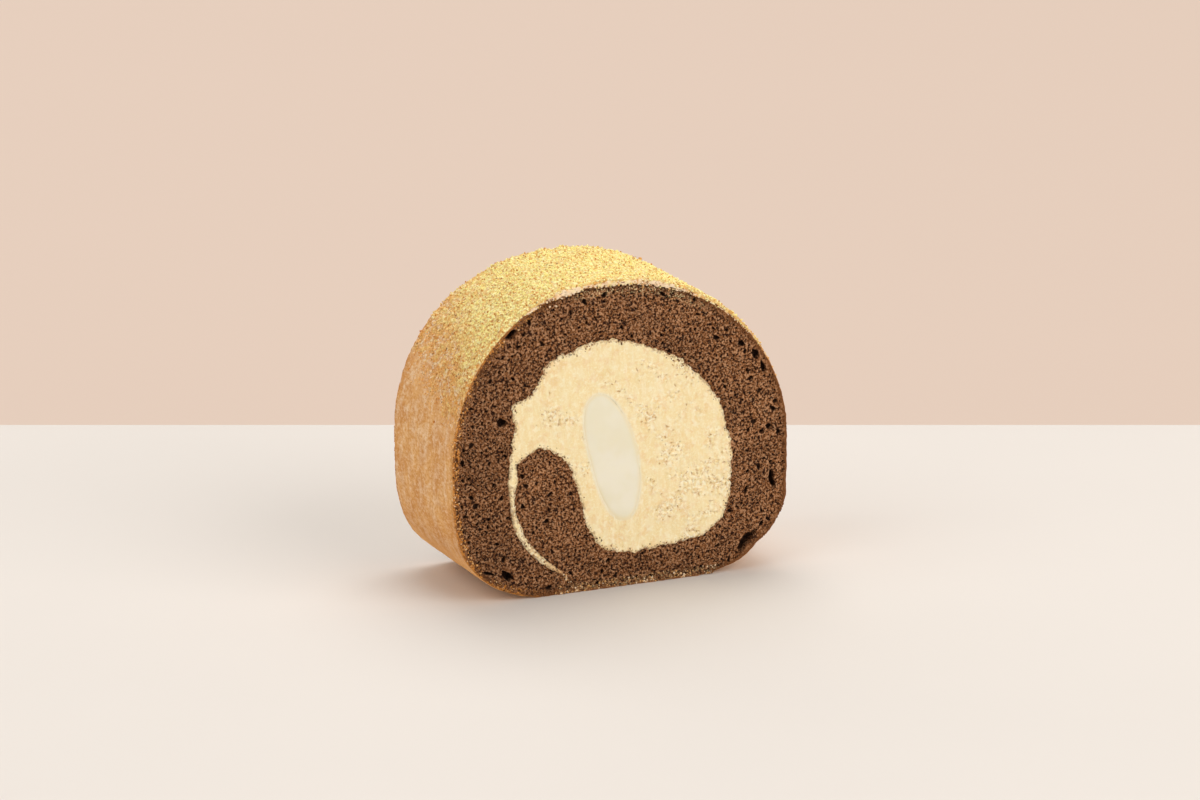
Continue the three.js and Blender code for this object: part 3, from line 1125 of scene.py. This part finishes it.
class ROLL_OT_cream(bpy.types.Operator):
    """Build the cream filling with its knife-smeared cuts"""

    bl_idname = "roll.cream"
    bl_label = "Cream Filling"

    def execute(self, context):
        sizes = context.scene.roll_sizes
        step = sizes.cream_step / MM
        spacing = step * RIM_SPACING
        outer, hole = (softened(resampled(o, spacing), 0.25) for o in cut_outlines("cream_filling"))
        rims = [smeared_edge(outer, spacing), hole + outward(hole) * CREAM_REACH]
        rim = np.concatenate(rims)
        tip = outer[outer[:, 1].argmin()][None]
        ends = []
        for level, seed in ((FRONT, 91), (BACK, 101)):
            rng = np.random.default_rng(seed)
            lattice = lattice_inside(rims, step)
            edge = distance_to(lattice, rim)
            pores = Pores()
            busy = crumbliness(lattice) > rng.random(len(lattice)) * 0.9 + 0.1
            widths, depths = (0.11, 0.3), (0.12, 0.35)
            pores.scatter(rng, lattice[busy], edge[busy], sizes.cream_pits, widths, depths, 4.0)
            inner, deep, shade = pores.pitted(rng, lattice, edge, step, 0.2)
            depth = layered(inner, (0.14, 7.0, seed), (0.03, 0.7, seed + 2)) + deep
            depth += 0.07 * lumps(inner * KNIFE_STREAKS, 1.6, seed + 1)
            depth += 0.45 * crumbliness(inner) * (0.3 - np.abs(lumps(inner, 1.1, seed + 3)))
            depth += 0.12 * ramp_down(distance_to(inner, rims[0]), 0.0, 0.5)
            face = CutFace(rims, inner, depth, shade)
            face.depth[:len(rim)] = 0.06
            face.depth[:len(rims[0])] = 0.15
            ends.append((level, face, True))
        material = cream_finish(context.scene.roll_colours)
        fields = {
            "border": close_to(rims[0], 0.0, 2.0),
            "tail": close_to(tip, 0.5, 7.0),
            "beside": close_to(rims[1], 0.1, 1.0),
            "crumbly": lambda p: crumbliness(p[:, (0, 2)]),
        }
        piece = cut_solid("whipped_cream", rims, ends, (FRONT + 2, BACK - 2), material, fields)
        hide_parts("cream_filling")
        return {"FINISHED"}


class ROLL_OT_core(bpy.types.Operator):
    """Build the smooth rice-cake core"""

    bl_idname = "roll.core"
    bl_label = "Rice Cake Core"

    def execute(self, context):
        step = context.scene.roll_sizes.core_step / MM
        rim = softened(resampled(cut_outlines("mochi_core")[0], step), 0.4)
        rims = [rim + outward(rim) * CORE_REACH]
        inner = lattice_inside(rims, step)
        edge = distance_to(inner, rims[0])
        clear = edge > step * 0.5
        inner, edge = inner[clear], edge[clear]
        ends = []
        for level, seed in ((FRONT, 111), (BACK, 121)):
            depth = 0.15 * ramp_down(edge, -0.2, 1.6) - 0.05 + 0.06 * lumps(inner, 5.0, seed)
            face = CutFace(rims, inner, depth, np.zeros(len(inner)))
            face.depth[:len(rim)] = 0.1
            ends.append((level, face, True))
        material = rice_cake_finish(context.scene.roll_colours)
        fields = {"border": close_to(rims[0], 0.2, 1.5)}
        piece = cut_solid("rice_cake_core", rims, ends, (FRONT + 2, BACK - 2), material, fields)
        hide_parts("mochi_core")
        return {"FINISHED"}


def place_on(outside, offsets, levels):
    """Points at the given offset outside each outline point and level along the roll."""
    flat = outside.points[:, None] + outside.normals[:, None] * offsets[..., None]
    return np.stack([flat[..., 0], np.broadcast_to(levels, offsets.shape), flat[..., 1]], axis=-1)


def toasting(places):
    """How orange the skin's cut edge is: on the left side, less so at the foot and the crown."""
    foot = ramp_down(places[:, 1], 1.5, 7)
    crown = 0.9 * ramp_up(places[:, 1], 64, 70)
    return ramp_up(-places[:, 0] - 14 * foot, 5, 22 - 8 * foot) * (1 - crown)


def powder_cover(points):
    """How fully sifted powder covers each point, from 0 low on the sides to 1 on the crown."""
    level = points[:, 2] + layered(points, (2.5, 4.0, 141), (1.5, 1.5, 146), (3, 0.9, 147))
    along = (points[:, 1] - FRONT) / (BACK - FRONT)
    level += ramp_up(-points[:, 0], 5, 25) * (3 - 11 * along)
    return ramp_up(level, 36, 68)


def powder_height(points, depth):
    """Height of the powder over the skin: clumps and grains, sparser where it thins."""
    cover = powder_cover(points)
    grains = 0.42 * pebbles(points, 0.85, 142) + 0.16 * pebbles(points, 0.5, 152)
    clumps = layered(points, (0.22, 2.4, 143), (0.16, 1.2, 144))
    return cover * (depth * 0.6 + clumps) + grains * (0.7 + 0.3 * cover) - (1 - cover) * 0.55


class ROLL_OT_skin(bpy.types.Operator):
    """Build the thin baked skin that wraps the roll"""

    bl_idname = "roll.skin"
    bl_label = "Baked Skin"

    def execute(self, context):
        skin = context.scene.roll_sizes.skin_thickness / MM
        outside = RollOutside(SKIN_STEP)
        over = np.concatenate([
            [FRONT + 0.05, FRONT + 0.2], np.linspace(FRONT + 0.5, BACK - 0.5, SKIN_ROWS),
            [BACK - 0.2, BACK - 0.05],
        ])
        last = len(over) - 1
        level = np.concatenate([over, [BACK, BACK - 3, MIDDLE, FRONT + 3, FRONT]])
        level = np.tile(level, (len(outside.points), 1))
        offset = np.zeros(level.shape)
        offset[:, (0, last)] = -TUCK
        offset[:, last + 1:] = -skin - TUCK
        flat = place_on(outside, offset, level).reshape(-1, 3)
        torn = 0.3 * ramp_up(flat[:, 0], 25, 38) * ramp_down(flat[:, 2], 10, 35)
        outer = (0.1 + torn) * lumps(flat, 6.0, 131)
        outer += layered(flat, (0.05, 1.8, 132), (0.05, 0.9, 133))
        inner = 0.14 * lumps(flat, 1.3, 134)
        uneven = np.where(np.arange(level.size) % level.shape[1] <= last, outer, inner)
        grid = place_on(outside, offset + uneven.reshape(level.shape), level)
        ragged = 0.28 * lumps(flat, 0.9, 135).reshape(level.shape)
        for row, way in ((0, -1), (1, -1), (last - 1, 1), (last, 1)):
            grid[:, row, 1] += way * ragged[:, row]
        grid[..., 2] = np.maximum(grid[..., 2], 0)
        edge = np.zeros(level.shape)
        edge[:, 0] = 1
        edge[:, last:] = 1
        fields = {
            "edge": edge.ravel(),
            "crown": powder_cover(flat),
            "low": ramp_down(flat[:, 2], 2, 28),
            "rim": ramp_down(np.minimum(flat[:, 1] - FRONT, BACK - flat[:, 1]), 0.3, 1.8),
            "toast": toasting(flat[:, (0, 2)]),
        }
        material = skin_finish(context.scene.roll_colours)
        piece = banded_piece("baked_skin", grid, material, fields, True, 3)
        return {"FINISHED"}


def crown_columns(outside):
    """Indices of the outline points that powder can lie on, from right to left."""
    up = np.nonzero(outside.normals[:, 1] > 0.12)[0]
    gap = np.nonzero(np.diff(up) > 1)[0]
    return np.concatenate([up[gap[0] + 1:], up[:gap[0] + 1]]) if len(gap) else up


class ROLL_OT_powder(bpy.types.Operator):
    """Build the coat of sifted powder that thins towards the sides"""

    bl_idname = "roll.powder"
    bl_label = "Powder Coat"

    def execute(self, context):
        depth = context.scene.roll_sizes.powder_depth / MM
        outside = RollOutside(POWDER_STEP)
        crown = crown_columns(outside)
        outside.points = outside.points[crown]
        outside.normals = outside.normals[crown]
        level = np.concatenate([
            np.linspace(FRONT + 0.02, BACK - 0.02, POWDER_ROWS),
            [BACK - 0.2, BACK - 6, MIDDLE, FRONT + 6, FRONT + 0.2],
        ])
        level = np.tile(level, (len(crown), 1))
        flat = place_on(outside, np.zeros(level.shape), level).reshape(-1, 3)
        to_edge = np.minimum(level - FRONT, BACK - level)
        offset = powder_height(flat, depth).reshape(level.shape)
        offset = np.maximum(offset - 0.25 * ramp_down(to_edge, 0.0, 0.4), -0.3)
        offset[:, POWDER_ROWS:] = -POWDER_UNDER
        grid = place_on(outside, offset, level)
        ragged = 0.22 * lumps(flat, 0.7, 145).reshape(level.shape)
        for row in (0, POWDER_ROWS - 1):
            grid[:, row, 1] += ragged[:, row]
        fields = {
            # Where painted shade lies between the coat's pebbles.
            "gap": 1 - np.clip(pebbles(flat, 0.85, 142) * 1.25, 0, 1),
            "rim": ramp_down(to_edge.ravel(), 0.5, 3.0),
            "thin": ramp_down(powder_cover(flat), 0.4, 1.08),
        }
        material = powder_finish(context.scene.roll_colours)
        piece = banded_piece("powder_coat", grid, material, fields, False, 3)
        return {"FINISHED"}


class ROLL_OT_grains(bpy.types.Operator):
    """Scatter loose grains of powder over the crown and shoulders"""

    bl_idname = "roll.grains"
    bl_label = "Powder Grains"

    def execute(self, context):
        sizes = context.scene.roll_sizes
        rng = np.random.default_rng(161)
        outside = RollOutside(POWDER_STEP)
        tries = sizes.grains * 4
        index = rng.integers(0, len(outside.points), tries)
        level = rng.uniform(FRONT - 0.05, BACK + 0.05, tries)
        at = np.insert(outside.points[index], 1, level, axis=1)
        taken = rng.random(tries) < 1.4 * powder_cover(at) - 0.04
        index, at = index[taken][:sizes.grains], at[taken][:sizes.grains]
        height = np.maximum(powder_height(at, sizes.powder_depth / MM), 0)
        normal = np.insert(outside.normals[index], 1, 0, axis=1)
        width = sizes.grain_width / MM * (0.6 + 0.75 * rng.random(len(at)) ** 1.6)
        centres = at + normal * (height + width * 0.18)[:, None]
        material = grain_finish(context.scene.roll_colours)
        thin = ramp_down(powder_cover(at), 0.4, 1.08)
        piece = scattered_piece("powder_grains", centres, width, rng, material, 0.22, thin=thin)
        return {"FINISHED"}


class ROLL_OT_rim(bpy.types.Operator):
    """Cake pale dust on the crown's rim at each cut, and leave toasted bits along the skin"""

    bl_idname = "roll.rim"
    bl_label = "Pale Rim"

    def execute(self, context):
        sizes, colours = context.scene.roll_sizes, context.scene.roll_colours
        outside = RollOutside(RIM_STEP)
        crown = crown_columns(outside)
        across = outside.points[crown, 0]
        crown = crown[(across > RIM_ENDS[0]) & (across < RIM_ENDS[1])]
        ribbon = outside.points[crown]
        normals = outside.normals[crown]
        thick = 0.3 + 0.7 * ramp_up(ribbon[:, 0], -25, -18) * ramp_down(ribbon[:, 0], 6, 26)
        broken = ramp_down(ribbon[:, 0], -14, -6)
        thick *= 0.85 - 0.2 * broken + (0.35 + 0.35 * broken) * lumps(ribbon, 4.0, 185)
        thick = np.maximum(thick, 0.12)
        angles = np.arange(RIM_SIDES) * 2 * math.pi / RIM_SIDES
        up, along = np.cos(angles), np.sin(angles)
        material = rim_finish(colours)
        for name, cut, way in (("caked_rim_front", FRONT, 1), ("caked_rim_back", BACK, -1)):
            beside = np.stack([0 * up, along * 0.4 + cut, up * 0.7], axis=1)
            spots = (np.insert(ribbon, 1, 0, axis=1)[:, None] + beside).reshape(-1, 3)
            swell = 0.7 + 0.4 * lumps(spots * (0.6, 1, 1), 1.3, 182) + 0.5 * lumps(spots, 0.55, 183)
            swell = np.clip(swell, 0.1, 1.3).reshape(len(ribbon), -1) * thick[:, None]
            out = -0.3 + 0.85 * up * swell
            flat = ribbon[:, None] + normals[:, None] * out[..., None]
            level = cut + 0.15 * way + 0.45 * along * swell
            grid = np.stack([flat[..., 0], level, flat[..., 1]], axis=-1)
            shade = 0.5 + 0.5 * lumps(spots, 0.8, 184)
            piece = banded_piece(name, grid, material, {"shade": shade}, False, 4)
        rng = np.random.default_rng(181)
        count = sizes.rim_lumps
        chosen = rng.integers(0, len(ribbon), count)
        offset = -0.25 + thick[chosen] * rng.uniform(-0.85, 0.75, count)
        flat = ribbon[chosen] + normals[chosen] * offset[:, None]
        centres = on_cuts(flat, rng.uniform(-0.15, 0.3, count))
        width = 0.25 + 0.5 * rng.random(count) * thick[chosen]
        piece = scattered_piece("rim_lumps", centres, width, rng, material, 0.3)
        count = sizes.skin_bits
        left = np.nonzero(outside.points[:, 0] < BITS_FROM[0])[0]
        right = np.nonzero(outside.points[:, 0] > BITS_FROM[1])[0]
        chosen = rng.choice(np.concatenate([left, left, right]), count)
        thick = 0.5 + 0.95 * ramp_up(-outside.points[chosen, 0], 5, 25)
        width = 0.28 + 0.4 * rng.random(count) ** 1.5
        offset = 0.06 - 0.6 * width - thick * rng.random(count) ** 0.8
        flat = outside.points[chosen] + outside.normals[chosen] * offset[:, None]
        centres = on_cuts(flat, rng.uniform(-0.12, 0.12, count) + 0.2 * width)
        clear = off_cavities(flat)
        toast = toasting(flat[clear])
        material = bit_finish(colours)
        piece = scattered_piece(
            "skin_bits", centres[clear], width[clear], rng, material, 0.3, toast=toast
        )
        return {"FINISHED"}


class ROLL_OT_crumbs(bpy.types.Operator):
    """Scatter loose crumbs along the foot of each cut, and torn bits where crumb meets cream"""

    bl_idname = "roll.crumbs"
    bl_label = "Loose Crumbs"

    def execute(self, context):
        sizes = context.scene.roll_sizes
        rng = np.random.default_rng(171)
        outside = RollOutside(CRUMB_STEP)
        x = rng.uniform(*FOOT_ENDS, sizes.foot_crumbs)
        z = 0.25 + 2.0 * rng.random(sizes.foot_crumbs) ** 1.5
        crown = crown_columns(outside)
        crown = crown[outside.normals[crown, 1] > 0.9]
        under = rng.choice(crown, RIM_CRUMBS)
        drop = 0.4 + 2.6 * rng.random(RIM_CRUMBS) ** 2
        top = outside.points[under] - outside.normals[under] * drop[:, None]
        flat = np.vstack([np.stack([x, z], axis=1), top])
        tail = cut_outlines("cream_filling")[0]
        tip = tail[tail[:, 1].argmin()]
        seam = tip + (3.0, 0.4 - tip[1]) * rng.random((SEAM_CRUMBS, 1))
        seam += rng.normal(0, 0.3, seam.shape)
        seam[:, 1] = np.maximum(seam[:, 1], 0.3)
        both = np.vstack([flat, seam, flat * (-1, 1), seam])
        width = 0.3 + 0.45 * rng.random(len(both)) ** 2
        material = crumb_finish(context.scene.roll_colours)
        piece = scattered_piece("loose_crumbs", on_cuts(both, 0.08), width, rng, material, 0.25)
        rim = sponge_outline(outside, sizes.skin_thickness / MM, 0.3)
        count = sizes.torn_bits
        chosen = rng.choice(np.nonzero(outside.depth(rim)[0] > 1.5)[0], count)
        spread = np.clip(rng.normal(0.0, 0.5, (count, 1)), -0.9, 1.0)
        flat = rim[chosen] + outward(rim)[chosen] * spread
        centres = on_cuts(flat, rng.uniform(0.0, 0.3, count))
        width = 0.2 + 0.32 * rng.random(count) ** 2
        material = sponge_finish(context.scene.roll_colours)
        piece = scattered_piece("torn_crumbs", centres, width, rng, material, 0.3)
        return {"FINISHED"}


# ---------------------------------------------------------------- stage

CAMERA_AZIMUTH = -24.43
CAMERA_ELEVATION = 16.05
CAMERA_DISTANCE = 1649.5
CAMERA_LENS = 210
OBJECT_LEFT, OBJECT_BELOW = 2.2, 3.8  # where the slice's middle sits from the view's middle
TABLE_END = 119.5  # from the slice's middle to where the table meets the backdrop
STAGE_REACH = 6000
WALL_RADIUS, WALL_HEIGHT = 1750, 900  # a plain wall all round, seen only from the sides and back
LIGHT_DISTANCE = 1800
LIGHT_AIM = 37  # height of the slice's middle, which the lights face
WARM_WHITE, SOFT_WHITE = (1.0, 0.985, 0.965), (1.0, 0.99, 0.975)


def ray_back(azimuth, elevation):
    """Direction from the slice to a viewer at this azimuth and elevation, in degrees."""
    a, e = math.radians(azimuth), math.radians(elevation)
    return Vector((math.sin(a) * math.cos(e), -math.cos(a) * math.cos(e), math.sin(e)))


def sheet(name, corners, faces, base, glow=0.0):
    """Finely mottled sheets of the stage; a glow keeps them even far from the lights."""
    mesh = bpy.data.meshes.new(name)
    mesh.from_pydata([(c * MM)[:] for c in corners], [], faces)
    g = Graph(name)
    lit = scaled(base, 1 - glow)
    g.shade = g.mix(g.noise(90.0), scaled(lit, 0.97), lit)
    mesh.materials.append(g.finish(0.8, 0.2, g.bump(g.noise(1.5), 0.01, 0.2), {
        "Emission Color": base, "Emission Strength": glow,
    }))
    floor = bpy.data.objects.new(name, mesh)
    bpy.context.scene.collection.objects.link(floor)
    return floor


def area_light(name, azimuth, elevation, size, watts, shade):
    """A soft square light that faces the slice."""
    light = bpy.data.lights.new(name, "AREA")
    light.shape = "SQUARE"
    light.size = size * MM
    light.energy = watts
    light.color = shade
    lamp = bpy.data.objects.new(name, light)
    back = ray_back(azimuth, elevation)
    lamp.location = (back * LIGHT_DISTANCE + Vector((0, 0, LIGHT_AIM))) * MM
    lamp.rotation_mode = "QUATERNION"
    lamp.rotation_quaternion = (-back).to_track_quat("-Z", "Y")
    lamp.visible_camera = False
    bpy.context.scene.collection.objects.link(lamp)


class ROLL_OT_stage(bpy.types.Operator):
    """Set up the table, the backdrop, the soft lights and the camera"""

    bl_idname = "roll.stage"
    bl_label = "Studio Stage"

    def execute(self, context):
        scene = context.scene
        colours = scene.roll_colours
        back = ray_back(CAMERA_AZIMUTH, 0)
        side = Vector((-back.y, back.x, 0))
        near = [side * s * STAGE_REACH + back * STAGE_REACH for s in (-1, 1)]
        edge = [side * s * STAGE_REACH - back * TABLE_END for s in (1, -1)]
        far = [side * s * STAGE_REACH - back * STAGE_REACH for s in (1, -1)]
        sheet("table", near + edge, [(0, 1, 2, 3)], colours.table)
        sheet("backdrop", [edge[1], edge[0], *far], [(0, 1, 2, 3)], colours.backdrop, 0.75)
        turns = [ray_back(angle, 0) * WALL_RADIUS for angle in range(0, 360, 5)]
        corners = turns + [turn + Vector((0, 0, WALL_HEIGHT)) for turn in turns]
        count = len(turns)
        faces = [(i, (i + 1) % count, count + (i + 1) % count, count + i) for i in range(count)]
        wall = sheet("far_wall", corners, faces, scaled(colours.backdrop, 1.05), 1.0)
        wall.visible_diffuse = wall.visible_glossy = False
        wall.visible_transmission = wall.visible_shadow = False
        area_light("key_light", 30, 28, 1520, 20.0, WARM_WHITE)
        area_light("top_light", 150, 66, 1520, 20.6, WARM_WHITE)
        area_light("left_fill", -80, 36, 1600, 11.0, SOFT_WHITE)
        area_light("back_fill", 180, 20, 1600, 6.0, SOFT_WHITE)
        world = bpy.data.worlds.new("studio")
        world.use_nodes = True
        glow = world.node_tree.nodes["Background"].inputs
        glow["Color"].default_value = (1.0, 0.92, 0.84, 1)
        glow["Strength"].default_value = 0.32
        scene.world = world
        scene.view_settings.view_transform = "Standard"
        lens = bpy.data.cameras.new("camera")
        lens.lens = CAMERA_LENS
        lens.clip_start, lens.clip_end = 0.05, 20
        camera = bpy.data.objects.new("camera", lens)
        back = ray_back(CAMERA_AZIMUTH, CAMERA_ELEVATION)
        turn = (-back).to_track_quat("-Z", "Y")
        shift = turn @ Vector((OBJECT_LEFT, OBJECT_BELOW, 0))
        middle = (CAD_BOX[0] + CAD_BOX[1]) / 2
        camera.location = middle + (back * CAMERA_DISTANCE + shift) * MM
        camera.rotation_mode = "QUATERNION"
        camera.rotation_quaternion = turn
        scene.collection.objects.link(camera)
        scene.camera = camera
        return {"FINISHED"}


# ---------------------------------------------------------------- add-on

OPERATORS = (
    ROLL_OT_sponge, ROLL_OT_cream, ROLL_OT_core, ROLL_OT_skin,
    ROLL_OT_powder, ROLL_OT_grains, ROLL_OT_rim, ROLL_OT_crumbs, ROLL_OT_stage,
)


class ROLL_PT_panel(bpy.types.Panel):
    """Lists the slice's operators"""

    bl_idname = "ROLL_PT_panel"
    bl_label = "Swiss Roll"
    bl_space_type = "VIEW_3D"
    bl_region_type = "UI"
    bl_category = "Swiss Roll"

    def draw(self, context):
        for operator in OPERATORS:
            self.layout.operator(operator.bl_idname)


CLASSES = (RollSizes, RollColours, *OPERATORS, ROLL_PT_panel)


def register():
    for cls in CLASSES:
        bpy.utils.register_class(cls)
    bpy.types.Scene.roll_sizes = PointerProperty(type=RollSizes)
    bpy.types.Scene.roll_colours = PointerProperty(type=RollColours)


def unregister():
    del bpy.types.Scene.roll_colours
    del bpy.types.Scene.roll_sizes
    for cls in reversed(CLASSES):
        bpy.utils.unregister_class(cls)


def main():
    register()
    for operator in OPERATORS:
        family, action = operator.bl_idname.split(".")
        getattr(getattr(bpy.ops, family), action)()


if __name__ == "__main__":
    main()
